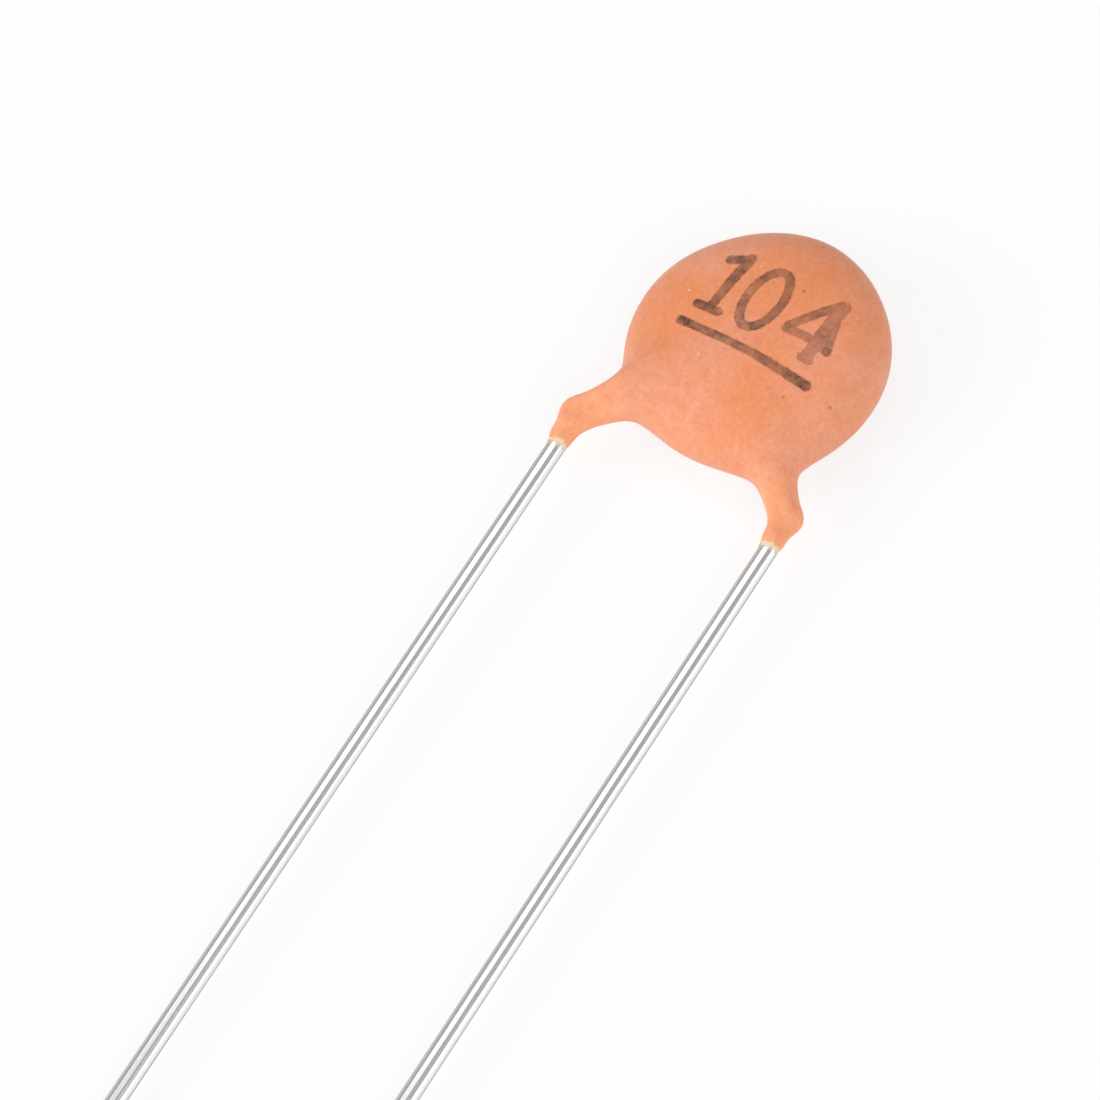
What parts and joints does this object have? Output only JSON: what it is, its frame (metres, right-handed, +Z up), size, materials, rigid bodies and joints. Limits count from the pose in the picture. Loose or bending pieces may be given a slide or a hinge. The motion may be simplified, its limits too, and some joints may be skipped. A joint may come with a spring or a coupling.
{
  "type": "ceramic disc capacitor",
  "caption": "Radial-lead ceramic disc capacitor: a dip-coated round pillow body with coated, kinked legs and long parallel tinned wire leads for through-hole mounting.",
  "frame": {"origin": "middle of the part's footprint, on the surface that it lies on", "axes": "+Y from the lead ends towards the body, +Z up out of the marked face, +X to the right lead; it lies at rest on the back of its body and on both lead ends, with the leads rising 1.36 degrees towards the body"},
  "size_m": [0.0058, 0.032, 0.0018],
  "materials": {
    "coating": "matte",
    "ceramic": "matte",
    "silver_film": "matte",
    "solder": "satin",
    "tinned_wire": "satin"
  },
  "bodies": {
    "root": {"coating": "coating", "ceramic_disc": "ceramic", "electrode_front": "silver_film", "electrode_back": "silver_film", "solder_front": "solder", "solder_back": "solder", "lead_left": "tinned_wire", "lead_right": "tinned_wire"}
  },
  "joints": []
}
